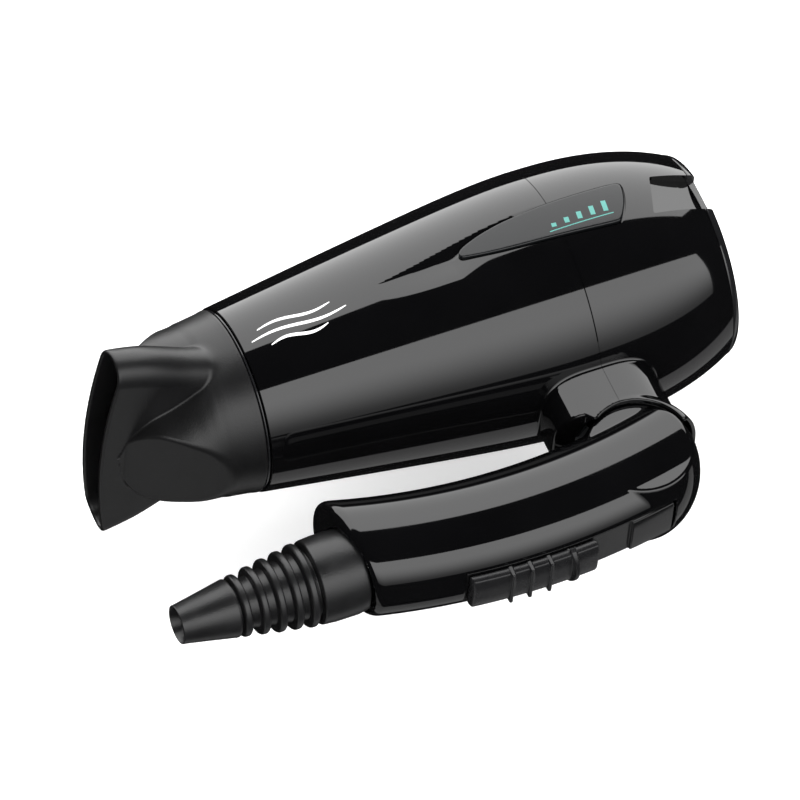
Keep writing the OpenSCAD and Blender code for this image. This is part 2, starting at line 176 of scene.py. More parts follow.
def smin(a, b, k):
    h = np.maximum(k - np.abs(a - b), 0) / k
    return np.minimum(a, b) - h * h * k * 0.25


def surface_net(f, lo, hi, h, steps=4, chunk=60):
    """closed quad mesh of f = 0, its vertices moved onto the surface"""
    axes = [np.arange(lo[k], hi[k] + h, h) for k in range(3)]
    nx, ny, nz = (len(a) for a in axes)
    V = np.empty((nx, ny, nz), np.float32)
    Y, Z = np.meshgrid(axes[1], axes[2], indexing="ij")
    yz = np.stack([Y.ravel(), Z.ravel()], 1)
    for i0 in range(0, nx, chunk):
        xs = axes[0][i0:i0 + chunk]
        P = np.empty((len(xs) * len(yz), 3))
        P[:, 0] = np.repeat(xs, len(yz))
        P[:, 1:] = np.tile(yz, (len(xs), 1))
        V[i0:i0 + chunk] = f(P).reshape(len(xs), ny, nz)
    S = V < 0
    c = S[:-1, :-1, :-1].astype(np.int8)
    tot = np.zeros(c.shape, np.int8)
    for a in (0, 1):
        for b in (0, 1):
            for d in (0, 1):
                tot += S[a:nx - 1 + a, b:ny - 1 + b, d:nz - 1 + d]
    active = (tot > 0) & (tot < 8)
    idx = -np.ones(active.shape, int)
    cells = np.argwhere(active)
    idx[active] = np.arange(len(cells))
    acc = np.zeros((len(cells), 3))
    cnt = np.zeros(len(cells))
    corners = [(a, b, d) for a in (0, 1) for b in (0, 1) for d in (0, 1)]
    for a in corners:
        for k in range(3):
            if a[k]:
                continue
            b = list(a)
            b[k] = 1
            va = V[cells[:, 0] + a[0], cells[:, 1] + a[1], cells[:, 2] + a[2]]
            vb = V[cells[:, 0] + b[0], cells[:, 1] + b[1], cells[:, 2] + b[2]]
            cross = (va < 0) != (vb < 0)
            t = np.where(cross, va / np.where(cross, va - vb, 1), 0)
            p = np.tile(np.array(a, float), (len(cells), 1))
            p[:, k] += t
            acc[cross] += p[cross]
            cnt[cross] += 1
    P = (cells + acc / cnt[:, None]) * h + np.array([a[0] for a in axes])
    faces = []
    for k in range(3):
        o = [(0, 1, 2), (1, 2, 0), (2, 0, 1)][k]
        sl0 = [slice(None)] * 3
        sl1 = [slice(None)] * 3
        sl0[k] = slice(0, -1)
        sl1[k] = slice(1, None)
        e = S[tuple(sl0)] != S[tuple(sl1)]
        at = np.argwhere(e)
        inside = S[tuple(sl0)][e]
        keep = (at[:, o[1]] > 0) & (at[:, o[2]] > 0)
        for k2 in (o[1], o[2]):
            keep &= at[:, k2] < (nx, ny, nz)[k2] - 1
        at, inside = at[keep], inside[keep]
        d1 = np.zeros(3, int)
        d1[o[1]] = 1
        d2 = np.zeros(3, int)
        d2[o[2]] = 1
        q = [idx[tuple((at - s).T)] for s in (0 * d1, d1, d1 + d2, d2)]
        Q = np.stack(q, 1)
        Q[~inside] = Q[~inside][:, ::-1]
        faces.append(Q)
    F = np.concatenate(faces)
    for _ in range(steps):
        v = f(P)
        g = field_grad(f, P)
        g2 = (g * g).sum(1)
        step = (v / np.maximum(g2, 1e-6))[:, None] * g
        L = np.linalg.norm(step, axis=1, keepdims=True)
        step *= np.minimum(1, 0.5 * h / np.maximum(L, 1e-9))
        P = P - step
    return P, F


def halve(ob, axis, at, keep_above, gap):
    """cuts a closed mesh by a design plane and closes it again"""
    n = {"x": (1, 0, 0), "y": (0, 0, -1)}[axis]
    pos = {"x": (at, 0, 0), "y": (0, at, 0)}[axis]
    sgn = 1 if keep_above else -1
    p = np.array(pos, float)
    p["xy".index(axis)] += sgn * gap
    bm = bmesh.new()
    bm.from_mesh(ob.data)
    co = Vector(to_row(p[None])[0])
    bmesh.ops.bisect_plane(bm, geom=bm.verts[:] + bm.edges[:] + bm.faces[:], dist=1e-7,
                           plane_co=co, plane_no=Vector(n) * sgn, clear_inner=True)
    edges = [e for e in bm.edges if e.is_boundary]
    bmesh.ops.holes_fill(bm, edges=edges, sides=0)
    bmesh.ops.recalc_face_normals(bm, faces=bm.faces)
    bm.to_mesh(ob.data)
    bm.free()
    return ob


# ---- the barrel's shape ------------------------------------------------------------------
def barrel_r(x):
    x = np.asarray(x, float)
    front = 40 - 0.1386 * (np.sqrt(x * x + 400) - 20)
    rear = 40 * np.sqrt(np.maximum(1 - np.power(np.maximum(x, 0) / 69.2, 2.4), 1e-6))
    return np.where(x < 0, front, rear)


LEAF = np.array([(-31.2, 1.3), (-30.4, 2.6), (-25.8, 4.6), (-18, 6.5), (-8.5, 7.6), (0.5, 8.2), (12.2, 8.5),
                 (22.2, 8.6), (23.2, 8.3), (23.6, 7.5), (23, 4), (21.6, 0.2), (19.3, -3.7), (18.4, -4.7), (17.4, -5),
                 (-2, -4), (-18.6, -2.4), (-28.2, -0.65), (-30.8, 0.2)], float)


def smooth_outline(pts, n=8):
    out = []
    m = len(pts)
    for i in range(m):
        a, b, c, d = pts[i - 1], pts[i], pts[(i + 1) % m], pts[(i + 2) % m]
        # centripetal spline keeps the corners tight
        t0 = 0
        t1 = t0 + np.linalg.norm(b - a) ** 0.5
        t2 = t1 + np.linalg.norm(c - b) ** 0.5
        t3 = t2 + np.linalg.norm(d - c) ** 0.5
        for j in range(n):
            t = t1 + (t2 - t1) * j / n
            A1 = (t1 - t) / (t1 - t0) * a + (t - t0) / (t1 - t0) * b
            A2 = (t2 - t) / (t2 - t1) * b + (t - t1) / (t2 - t1) * c
            A3 = (t3 - t) / (t3 - t2) * c + (t - t2) / (t3 - t2) * d
            B1 = (t2 - t) / (t2 - t0) * A1 + (t - t0) / (t2 - t0) * A2
            B2 = (t3 - t) / (t3 - t1) * A2 + (t - t1) / (t3 - t1) * A3
            out.append((t2 - t) / (t2 - t1) * B1 + (t - t1) / (t2 - t1) * B2)
    return np.array(out)


LEAF_S = smooth_outline(LEAF, 6)

RIDGE = np.array([(-57.7, 2.0), (-45, 3.6), (-32, 5.8), (-22, 7.3), (-12, 8.35), (-2, 8.9)])
CREASE = np.array([(-57.7, 1.9), (-45, 1.6), (-32.9, 1.2), (-22, 4.9), (-12, 6.7), (-2, 7.6)])
DEPTH = np.array([(-57.7, 0.0), (-50, 0.4), (-42, 0.85), (-33, 1.25), (-22, 0.95), (-12, 0.55), (-2, 0.0)])
DEPTH_LOW = np.array([(-57.7, 0.0), (-50, 0.4), (-42, 0.85), (-34, 1.1), (-29, 0.6), (-24, 0.12), (-20, 0.0)])


def flute(x, z):
    """depth of the long flute that runs out from the tip of the side inlay"""
    x, z = np.broadcast_arrays(np.asarray(x, float), np.asarray(z, float))
    zu = np.interp(x, RIDGE[:, 0], RIDGE[:, 1])
    zl = np.interp(x, CREASE[:, 0], CREASE[:, 1])
    D = np.interp(x, DEPTH[:, 0], DEPTH[:, 1], left=0, right=0)
    DL = np.interp(x, DEPTH_LOW[:, 0], DEPTH_LOW[:, 1], left=0, right=0)
    w = np.maximum(zu - zl, 1e-3)
    up = np.clip((zu - z) / w, 0, 1)
    fade = np.clip((zl - z) / 8.5, 0, 1)
    down = 1 - fade * fade * (3 - 2 * fade)
    # the two sides run into each other over a few cells, so the crease stays clean
    b = np.clip((z - zl) / 1.4 + 0.5, 0, 1)
    b = b * b * (3 - 2 * b)
    return D * up * b + DL * down * (1 - b)


def outer_r(x, y, z, grow=0.0):
    return barrel_r(x) + grow - flute(x, z)


def barrel_field(P, grow=0.0):
    r = np.sqrt(P[:, 1] ** 2 + P[:, 2] ** 2)
    return r - outer_r(P[:, 0], P[:, 1], P[:, 2], grow)


THETA = []
t = -math.pi
fine = math.radians(0.45)
coarse = math.radians(2.0)
while t < math.pi - 1e-6:
    THETA.append(t)
    zz = abs(math.sin(t)) * 38
    s = fine if (zz < 12.5) else coarse
    t += s
THETA = np.array(THETA)


def revolve(name, prof, theta=None, closed=True, fn=None):
    """prof: list of (x, r); fn maps (x, r, theta) to a radius"""
    th = THETA if theta is None else theta
    prof = np.asarray(prof, float)
    n, m = len(prof), len(th)
    X = np.repeat(prof[:, 0], m)
    R = np.repeat(prof[:, 1], m)
    T = np.tile(th, n)
    if fn is not None:
        R = fn(X, R, T)
    V = np.stack([X, R * np.cos(T), R * np.sin(T)], 1)
    F = []
    k = n if closed else n - 1
    i = np.arange(k)[:, None]
    j = np.arange(m)[None, :]
    i2 = (i + 1) % n
    j2 = (j + 1) % m
    F = np.stack([(i * m + j).ravel(), (i2 * m + j).ravel(), (i2 * m + j2).ravel(), (i * m + j2).ravel()], 1)
    ob = make(name, V, F)
    outward(ob)
    return ob


def shell_profile(x0, x1, seam0, seam1, inner):
    """outer skin from x0 to x1, then back along the inside"""
    xs = [x0, x0 + 0.14]
    x = x0 + 0.4
    while x < x1 - 0.5:
        xs.append(x)
        x += 0.5 if -60 < x < -1 else 1.1
    xs.append(x1 - 0.4)
    xs += [x1 - 0.14, x1]
    out = []
    for x in xs:
        r = float(barrel_r(x))
        if x == x0:
            r -= seam0
        if x == x1:
            r -= seam1
        out.append((x, r))
    return out + inner


def with_flute(X, R, T):
    outer = np.abs(R - barrel_r(X)) < 0.5
    return np.where(outer, R - flute(X, R * np.sin(T)), R)


def prism(name, poly, y0, y1, sign):
    """extruded outline (x, z) from |y| = y0 to y1 on the side of sign"""
    n = len(poly)
    V = np.array([(p[0], sign * y0, p[1]) for p in poly] + [(p[0], sign * y1, p[1]) for p in poly])
    F = [list(range(n)), list(range(n, 2 * n))[::-1]] + [[i, i + n, (i + 1) % n + n, (i + 1) % n] for i in range(n)]
    ob = make(name, V, F, False)
    outward(ob)
    return ob


def scoop_cutter(sign):
    corners = [(33.8, 9.0), (52, 8.33), (52, -5.05), (29.1, -4.8)]
    # rounded inner corners
    poly = []
    for i, c in enumerate(corners):
        c = np.array(c)
        a, b = np.array(corners[i - 1]), np.array(corners[(i + 1) % 4])
        ua, ub = (a - c) / np.linalg.norm(a - c), (b - c) / np.linalg.norm(b - c)
        r = 0.9
        for s in np.linspace(0, 1, 6):
            poly.append((1 - s) ** 2 * (c + ua * r) + 2 * s * (1 - s) * c + s * s * (c + ub * r))
    n = len(poly)
    V = np.array([(p[0], sign * (33.6 - 0.526 * (p[0] - 33.8)), p[1]) for p in poly] + [(p[0], sign * 46, p[1]) for p in poly])
    F = [list(range(n)), list(range(n, 2 * n))[::-1]] + [[i, i + n, (i + 1) % n + n, (i + 1) % n] for i in range(n)]
    ob = make("cut", V, F, False)
    outward(ob)
    return ob


def grow_outline(pts, amounts):
    """offsets an outline outwards; amounts(p, normal) gives the distance"""
    m = len(pts)
    area = 0.5 * sum(pts[i][0] * pts[(i + 1) % m][1] - pts[(i + 1) % m][0] * pts[i][1] for i in range(m))
    out = []
    for i in range(m):
        d = pts[(i + 1) % m] - pts[i - 1]
        nrm = np.array([d[1], -d[0]]) / max(np.linalg.norm(d), 1e-9)
        if area < 0:
            nrm = -nrm
        out.append(pts[i] + nrm * amounts(pts[i], nrm))
    return np.array(out)


POCKET = grow_outline(LEAF_S, lambda p, n: 0.2 + 0.55 * max(0, -n[1]) + 0.12 * max(0, n[0]))

front = revolve("front_shell_skin", shell_profile(-101.3, -0.05, 0.35, 0.1, [(-0.05, 35.5), (-60, 34.0), (-101.3, 24.3)]), fn=with_flute)
rear = revolve("rear_shell_skin", shell_profile(0.05, 46.3, 0.1, 0.3, [(46.3, 24.3), (33, 24.3), (31.8, 30), (0.05, 35.5)]), fn=with_flute)
for sign in (1, -1):
    boolean(front, prism("cut", POCKET, 36.7, 46, sign))
    boolean(rear, prism("cut", POCKET, 36.7, 46, sign))
    boolean(rear, scoop_cutter(sign))
shade_by_field(front, barrel_field, 0.06)
shade_by_field(rear, barrel_field, 0.06)

# ---- neck and hood -------------------------------------------------------------------------
PZ = -66.0


def drum_field(P, g):
    """signed field of the hinge drum grown by g"""
    r = np.sqrt(P[:, 0] ** 2 + (P[:, 2] - PZ) ** 2)
    q = np.sqrt((r / (19.5 + g)) ** 2 + (P[:, 1] / 24.6) ** 2)
    return (q - 1) * (19.5 + g)


def ray(P, deg, side):
    """signed distance past the ray at deg from the hinge axis"""
    a = math.radians(deg)
    return side * (-math.sin(a) * P[:, 0] + math.cos(a) * (P[:, 2] - PZ))


def neck_field(P):
    x, y, z = P[:, 0], P[:, 1], P[:, 2]
    q = (np.abs((x + 1) / 18.5) ** 3 + np.abs(y / 15.7) ** 3) ** (1 / 3)
    col = (q - 1) * 16.5
    col = np.maximum(col, -53 - z)
    hood = smax(drum_field(P, 2.3), np.abs(y) - 15.7, 1.2)
    hood = smax(hood, ray(P, 12.5, -1), 0.8)
    hood = np.maximum(hood, -2 - x)
    s = smin(col, hood, 0.6)
    below = (-48 - 0.2955 * (x + 20)) - z
    past = ray(P, 126, 1)
    s = smax(s, np.minimum(below, past), 0.7)
    r = np.sqrt(x * x + (z - PZ) ** 2)
    clear = np.minimum(np.maximum(drum_field(P, 0.7), np.abs(y) - 13.7), r - 15.35)
    s = smax(s, -clear, 0.7)
    rb = np.sqrt(y * y + z * z) - (barrel_r(x) - 0.02)
    s = smin(s, rb, 0.9)
    box = np.maximum(np.maximum(np.abs(x + 1) - 26.5, np.abs(y) - 23), z + 29)
    inner = 36.6 - np.sqrt(y * y + z * z)
    return np.maximum(np.maximum(s, box), inner)


P, F = surface_net(neck_field, (-28.4, -24.1, -73), (26.6, 24.2, -27.5), 0.5)
neck_f = make("neck_front", P, F)
outward(neck_f)
neck_r = neck_f.copy()
neck_r.data = neck_f.data.copy()
bpy.context.scene.collection.objects.link(neck_r)
halve(neck_f, "x", 0, False, 0.05)
halve(neck_r, "x", 0, True, 0.05)
shade_by_field(neck_f, neck_field, 0.05, 0.5)
shade_by_field(neck_r, neck_field, 0.05, 0.5)
front = join("front_shell_visual", front, neck_f)
rear = join("rear_shell_visual", rear, neck_r)

# ---- handle -----------------------------------------------------------------------------------
AX, AZ, AR = -40.0, 133.4, 205.0


def arc_coords(P):
    dx, dz = P[:, 0] - AX, P[:, 2] - AZ
    return np.sqrt(dx * dx + dz * dz) - AR, np.arctan2(dz, dx) + math.pi / 2


def arc_ang(x, n):
    return math.asin((x - AX) / (AR + n))


def section(n, y):
    m = n + 4.0
    b = np.abs(y / 15.7)
    inner = (np.abs(m / 13.7) ** 2.2 + b ** 2.2) ** (1 / 2.2)
    outer = (np.abs(m / 21.0) ** 2.4 + b ** 2.4) ** (1 / 2.4)
    return (np.where(m < 0, inner, outer) - 1) * 15.0


def handle_field(P):
    x, y, z = P[:, 0], P[:, 1], P[:, 2]
    n, a = arc_coords(P)
    band = section(n, y)
    band = smax(band, -94.5 + 0.126 * np.clip(n, -20, 20) - x, 4.0)
    cut = np.maximum(ray(P, -79, 1), ray(P, 128, -1))
    band = smax(band, cut, 0.9)
    drum = smax(drum_field(P, -0.8), np.abs(y) - 13.4, 0.8)
    r = np.sqrt(x * x + (z - PZ) ** 2)
    cap = smax(r - 15.0, section(n, y), 1.6)
    h = smin(np.minimum(band, cap), drum, 0.5)
    a0, a1 = arc_ang(-64.3, 16), arc_ang(6.5, 26)
    rec = np.maximum(np.maximum(np.abs(y) - 7.15, 14.0 - n), np.maximum((a0 - a), (a - a1)) * 220)
    h = smax(h, -rec, 0.35)
    # opening for the strain relief
    rr = np.sqrt(y * y + (z + 68) ** 2)
    h = smax(h, -np.maximum(rr - 13.5, x + 90.8), 0.4)
    return h


P, F = surface_net(handle_field, (-98.6, -17.1, -95.2), (21.2, 17.2, -44.2), 0.45)
h_l = make("handle_left_visual", P, F)
outward(h_l)
h_r = h_l.copy()
h_r.data = h_l.data.copy()
h_r.name = "handle_right_visual"
bpy.context.scene.collection.objects.link(h_r)
halve(h_l, "y", 0, False, 0)
halve(h_r, "y", 0, True, 0)


def flip_named(ob):
    """which half of y a mesh holds"""
    co = np.array([v.co for v in ob.data.vertices][:2000])
    return to_design(co)[:, 1].mean()


# trim both halves 0.07 mm back from the seam plane
for ob in (h_l, h_r):
    co = np.empty(len(ob.data.vertices) * 3)
    ob.data.vertices.foreach_get("co", co)
    D = to_design(co.reshape(-1, 3))
    s = 1 if D[:, 1].mean() > 0 else -1
    near = np.abs(D[:, 1]) < 0.07
    D[near, 1] = s * 0.07
    ob.data.vertices.foreach_set("co", to_row(D).ravel())
    ob.data.update()
    shade_by_field(ob, handle_field, 0.05, 0.5)
if flip_named(h_l) < 0:
    h_l, h_r = h_r, h_l
    h_l.name, h_r.name = "tmp_l", "tmp_r"
    h_l.name, h_r.name = "handle_left_visual", "handle_right_visual"

# ---- nozzle --------------------------------------------------------------------------------------
W_X = [-149, -147, -134, -117.6, -110, -105]
W_Y = [43.2, 43.0, 39.5, 30.7, 27.0, 25.0]
BN_X = [-141.2, -139, -136, -132, -126, -121, -117.5, -114.5, -110]
BN_Y = [0.5, 7.0, 11.5, 15.2, 18.0, 21.0, 23.6, 25.6, 26.4]
BW_X = [-141.2, -140.4, -138.5, -135.5, -131, -123.6, -118, -113, -108]
BW_Y = [0.5, 7.5, 14.5, 19.3, 22.0, 23.4, 25.0, 25.9, 26.3]


def spline_table(xs, ys):
    xs, ys = np.array(xs, float), np.array(ys, float)
    X = np.linspace(xs[0], xs[-1], 400)
    m = np.gradient(ys, xs)
    i = np.clip(np.searchsorted(xs, X) - 1, 0, len(xs) - 2)
    h = xs[i + 1] - xs[i]
    t = (X - xs[i]) / h
    Y = ((2 * t ** 3 - 3 * t ** 2 + 1) * ys[i] + (t ** 3 - 2 * t ** 2 + t) * h * m[i]
         + (-2 * t ** 3 + 3 * t ** 2) * ys[i + 1] + (t ** 3 - t ** 2) * h * m[i + 1])
    return X, Y


WT, BNT, BWT = spline_table(W_X, W_Y), spline_table(BN_X, BN_Y), spline_table(BW_X, BW_Y)


def nozzle_outer(P, g=0.0):
    x, y, z = P[:, 0], P[:, 1], P[:, 2]
    W = np.interp(x, *WT) - g
    t = np.interp(x, [-147, -134, -120], [6.7, 7.2, 7.2]) - g
    qy = np.maximum(np.abs(y) - (W - t), 0)
    fan = np.sqrt(qy * qy + z * z) - t
    fan = np.maximum(fan, x + 106)
    narrow = (y * z) > 0
    b = np.where(narrow, np.interp(x, *BNT), np.interp(x, *BWT)) - g
    # blend the two sides over the top of the body, where they meet
    s = np.clip(0.5 + y * np.sign(z) / 5.0, 0, 1)
    s = s * s * (3 - 2 * s)
    b = (1 - s) * (np.interp(x, *BWT) - g) + s * (np.interp(x, *BNT) - g)
    b = np.maximum(b, 0.3)
    A = np.interp(x, [-125, -108], [26.3, 26.7]) - g
    q = np.sqrt((y / b) ** 2 + (z / A) ** 2)
    gl = np.sqrt((y / b ** 2) ** 2 + (z / A ** 2) ** 2) / np.maximum(q, 1e-6)
    body = (q - 1) / np.maximum(gl, 1e-6)
    w = np.interp(x, [-139.5, -123.6, -117.0, -112, -105], [7.0, 19.4, 24.0, 27.0, 33]) - g
    body = smax(body, (np.abs(z) - w) * 0.76, 0.9)
    body = np.maximum(body, x + 104.5)
    body = np.maximum(body, -141.2 + g - x)
    r = np.sqrt(y * y + z * z)
    ring = r - (np.interp(x, [-114, -111, -105, -102.5], [26.2, 26.5, 27.6, 28.2]) - g)
    ring = smax(ring, -112.6 - x, 2.0)
    return smin(smin(fan, body, 0.9), ring, 1.6)


def nozzle_field(P):
    x, y, z = P[:, 0], P[:, 1], P[:, 2]
    o = nozzle_outer(P)
    inner = nozzle_outer(P, 1.5)
    r = np.sqrt(y * y + z * z)
    inner = np.minimum(np.maximum(inner, x + 112), np.maximum(r - 24.5, -113.5 - x))
    f = smax(o, -inner, 0.5)
    f = smax(f, x + 102.5, 0.6)
    bow = np.sqrt((x - (-147 + 233)) ** 2 + y * y) - 233
    return smax(f, bow, 1.0)


P, F = surface_net(nozzle_field, (-148.6, -44.2, -29.4), (-101.2, 44.3, 29.5), 0.5, steps=5)
nozzle = make("nozzle_visual", P, F)
outward(nozzle)
shade_by_field(nozzle, nozzle_field, 0.08, 0.3)


# ---- revolved pieces ------------------------------------------------------------------------------
def lathe(name, prof, zc=0.0, n=160, round_r=0.35):
    """revolved closed profile (x, r) with its corners rounded"""
    prof = [np.array(p, float) for p in prof]
    pts = []
    m = len(prof)
    for i in range(m):
        a, b, c = prof[i - 1], prof[i], prof[(i + 1) % m]
        la, lc = np.linalg.norm(a - b), np.linalg.norm(c - b)
        ua, uc = (a - b) / la, (c - b) / lc
        bend = math.degrees(math.acos(max(-1, min(1, float(-(ua @ uc))))))
        if bend < 14:
            pts.append(b)
            continue
        d = min(round_r, la * 0.4, lc * 0.4)
        for s in np.linspace(0, 1, 6):
            pts.append((1 - s) ** 2 * (b + ua * d) + 2 * s * (1 - s) * b + s * s * (b + uc * d))
    th = np.linspace(-math.pi, math.pi, n, endpoint=False)
    pts = np.array(pts)
    T = np.tile(th, len(pts))
    X = np.repeat(pts[:, 0], n)
    R = np.repeat(pts[:, 1], n)
    V = np.stack([X, R * np.cos(T), zc + R * np.sin(T)], 1)
    k = len(pts)
    i = np.arange(k)[:, None]
    j = np.arange(n)[None, :]
    i2, j2 = (i + 1) % k, (j + 1) % n
    F = np.stack([(i * n + j).ravel(), (i2 * n + j).ravel(), (i2 * n + j2).ravel(), (i * n + j2).ravel()], 1)
    ob = make(name, V, F)
    outward(ob)
    return ob


RIB_X = [-109.2, -114, -119, -124, -129.3]
RIB_R = [12.8, 12.0, 11.3, 10.4, 9.5]
prof = [(-91.4, 3.85), (-91.4, 11.5), (-91.9, 11.6), (-92.0, 12.7), (-95.0, 13.2), (-102, 13.25),
        (-106.1, 12.95), (-106.5, 12.6), (-106.6, 10.2)]
for x, r in zip(RIB_X, RIB_R):
    core = 10.4 - (-107.6 - x) * 0.153
    prof += [(x + 1.25, core + 0.15), (x + 1.15, r - 0.45), (x + 0.6, r), (x - 0.6, r), (x - 1.15, r - 0.45), (x - 1.25, core)]
prof += [(-131.2, 6.9), (-131.5, 8.8), (-132.1, 9.0), (-140, 7.5), (-148.0, 6.05), (-148.8, 6.0), (-149, 5.6), (-147.6, 5.1), (-144, 3.85)]
relief = lathe("strain_relief_visual", prof, -68.0, 128, 0.3)

collar = lathe("nozzle_collar_visual", [(-111.4, 23.05), (-111.3, 24.8), (-111.0, 25.1), (-110.5, 24.35), (-102.25, 24.35), (-102.2, 27.7),
                                        (-102.0, 27.9), (-101.75, 27.9), (-101.7, 27.7), (-101.7, 23.05)], 0, 192, 0.12)

rim = lathe("rear_grille_visual", [(46.42, 24.2), (46.42, 31.2), (46.7, 31.32), (47.4, 31.05), (48.2, 30.55), (48.75, 29.95), (48.98, 29.3),
                                   (48.98, 25.6), (48.4, 24.6), (47.6, 24.2)], 0, 224, 0.25)
sleeve = lathe("sleeve", [(41, 26.35), (41, 27.8), (46.5, 28.2), (46.5, 26.35)], 0, 160, 0.2)
bits = []
for r in (4, 8.5, 13, 17.5, 22):
    bits.append(lathe("ring", [(46.62, r - 0.75), (46.62, r + 0.75), (48.18, r + 0.6), (48.18, r - 0.6)], 0, 120, 0.3))
for k in range(6):
    a = k * math.pi / 3
    c, s = math.cos(a), math.sin(a)
    loop = [(46.65, -0.75), (46.65, 0.75), (47.8, 0.75), (48.15, 0.45), (48.15, -0.45), (47.8, -0.75)]
    V = [(x, c * d - s * w, s * d + c * w) for d in (1.0, 24.9) for x, w in loop]
    n = len(loop)
    F = [list(range(n)), list(range(n, 2 * n))[::-1]] + [[i, i + n, (i + 1) % n + n, (i + 1) % n] for i in range(n)]
    b = make("spoke", V, F, False)
    outward(b)
    bits.append(b)
hub = lathe("hub", [(46.62, 0.02), (46.62, 1.9), (48.5, 1.6), (48.8, 0.9), (48.85, 0.02)], 0, 48, 0.3)
for sign in (1, -1):
    boolean(rim, scoop_cutter(sign))
for sign in (1, -1):
    V = [(x, sign * y, z) for x in (40, 46.4) for y in (21.5, 33) for z in (-11.4, 11.7)]
    F = [(0, 1, 3, 2), (4, 6, 7, 5), (0, 4, 5, 1), (2, 3, 7, 6), (0, 2, 6, 4), (1, 5, 7, 3)]
    c = make("cut", V, F, False)
    outward(c)
    boolean(sleeve, c)


def edge_shade(ob, deg=32, bevel=None):
    bm = bmesh.new()
    bm.from_mesh(ob.data)
    for f in bm.faces:
        f.smooth = True
    for e in bm.edges:
        e.smooth = not (len(e.link_faces) == 2 and e.calc_face_angle(0) > math.radians(deg))
    bm.to_mesh(ob.data)
    bm.free()


for o in (rim, sleeve):
    edge_shade(o)
rim = join("rear_grille_visual", rim, sleeve, hub, *bits)

# ---- side inlays ------------------------------------------------------------------------------------
up_pts = LEAF[[0, 1, 2, 3, 4, 5, 6, 7, 8, 9]]
lo_pts = LEAF[[0, 18, 17, 16, 15, 14, 13, 12, 11, 10, 9]]


def poly_dist(x, z):
    p = np.stack([x, z], -1)
    best = np.full(x.shape, 1e9)
    m = len(LEAF_S)
    for i in range(m):
        a, b = LEAF_S[i], LEAF_S[(i + 1) % m]
        ab = b - a
        t = np.clip(((p - a) @ ab) / (ab @ ab), 0, 1)
        d = np.linalg.norm(p - (a + t[..., None] * ab), axis=-1)
        best = np.minimum(best, d)
    return best


def inlay(name, sign):
    ups, los = LEAF_S[:9 * 6 + 1], np.vstack([LEAF_S[9 * 6:], LEAF_S[:1]])
    upx, lox = ups, los[::-1]
    xs = np.concatenate([[-31.2], -31.2 + np.geomspace(0.05, 4, 14), np.linspace(-26.6, 16.5, 60), np.linspace(17, 23.2, 22),
                         23.6 - np.geomspace(0.3, 0.01, 6)])
    xs = np.clip(np.sort(xs), -31.2, 23.6)
    zu = np.interp(xs, *np.maximum.accumulate(upx[np.argsort(upx[:, 0])], 0).T[:1], upx[np.argsort(upx[:, 0])][:, 1])
    order = np.argsort(lox[:, 0])
    zl = np.interp(xs, lox[order][:, 0], lox[order][:, 1])
    tt = np.concatenate([[0], np.geomspace(0.006, 0.08, 7), np.linspace(0.12, 0.88, 16), 1 - np.geomspace(0.08, 0.006, 7), [1]])
    X = np.repeat(xs, len(tt)).reshape(len(xs), -1)
    Z = zl[:, None] + (zu - zl)[:, None] * tt[None]
    e = poly_dist(X, Z)
    rr = 0.5
    h = 0.38 - (rr - np.sqrt(np.maximum(rr ** 2 - np.maximum(rr - e, 0) ** 2, 0)))
    R = barrel_r(X) + h
    Y = np.sqrt(np.maximum(R ** 2 - Z ** 2, 0))
    m, n = X.shape
    top = np.stack([X.ravel(), sign * Y.ravel(), Z.ravel()], 1)
    Yb = np.full(X.shape, 36.8)
    bot = np.stack([X.ravel(), sign * Yb.ravel(), Z.ravel()], 1)
    V = np.vstack([top, bot])
    off = m * n
    F = []
    for i in range(m - 1):
        for j in range(n - 1):
            a, b, c, d = i * n + j, (i + 1) * n + j, (i + 1) * n + j + 1, i * n + j + 1
            F.append([a, b, c, d])
            F.append([off + d, off + c, off + b, off + a])
    ring = [i * n for i in range(m)] + [(m - 1) * n + j for j in range(1, n)] + [i * n + n - 1 for i in range(m - 2, -1, -1)] + [j for j in range(n - 2, 0, -1)]
    for k in range(len(ring)):
        a, b = ring[k], ring[(k + 1) % len(ring)]
        F.append([b, a, off + a, off + b])
    ob = make(name, V, F)
    bm = bmesh.new()
    bm.from_mesh(ob.data)
    bmesh.ops.remove_doubles(bm, verts=bm.verts, dist=1e-6)
    bmesh.ops.dissolve_degenerate(bm, dist=1e-7, edges=bm.edges)
    bmesh.ops.recalc_face_normals(bm, faces=bm.faces)
    bm.to_mesh(ob.data)
    bm.free()
    edge_shade(ob, 50)
    return ob


inlay_l = inlay("side_inlay_left_visual", 1)
inlay_r = inlay("side_inlay_right_visual", -1)


# ---- marks: plain airflow strokes on the barrel, and power bars on the inlay ---------------------------
def stroke(name, pts, width, sign, lift, hgt=0.05):
    """thin raised strip along points (x, z) on the barrel side; width may vary along it"""
    pts = np.array(pts, float)
    d = np.gradient(pts, axis=0)
    nrm = np.stack([-d[:, 1], d[:, 0]], 1) / np.linalg.norm(d, axis=1, keepdims=True)
    w = np.broadcast_to(np.asarray(width, float), (len(pts),))[:, None]
    V, F = [], []
    for lev in (lift - 0.12, lift + hgt):
        for s in (-1, 1):
            q = pts + nrm * w * s * 0.5
            R = barrel_r(q[:, 0]) + lev
            y = np.sqrt(R ** 2 - q[:, 1] ** 2)
            V.append(np.stack([q[:, 0], sign * y, q[:, 1]], 1))
    n = len(pts)
    V = np.vstack(V)
    for i in range(n - 1):
        for a, b in ((0, 1), (1, 3), (3, 2), (2, 0)):
            F.append([a * n + i, a * n + i + 1, b * n + i + 1, b * n + i])
    F.append([0, n, 3 * n, 2 * n])
    F.append([n - 1, 2 * n - 1, 4 * n - 1, 3 * n - 1])
    ob = make(name, V, F, False)
    outward(ob)
    return ob


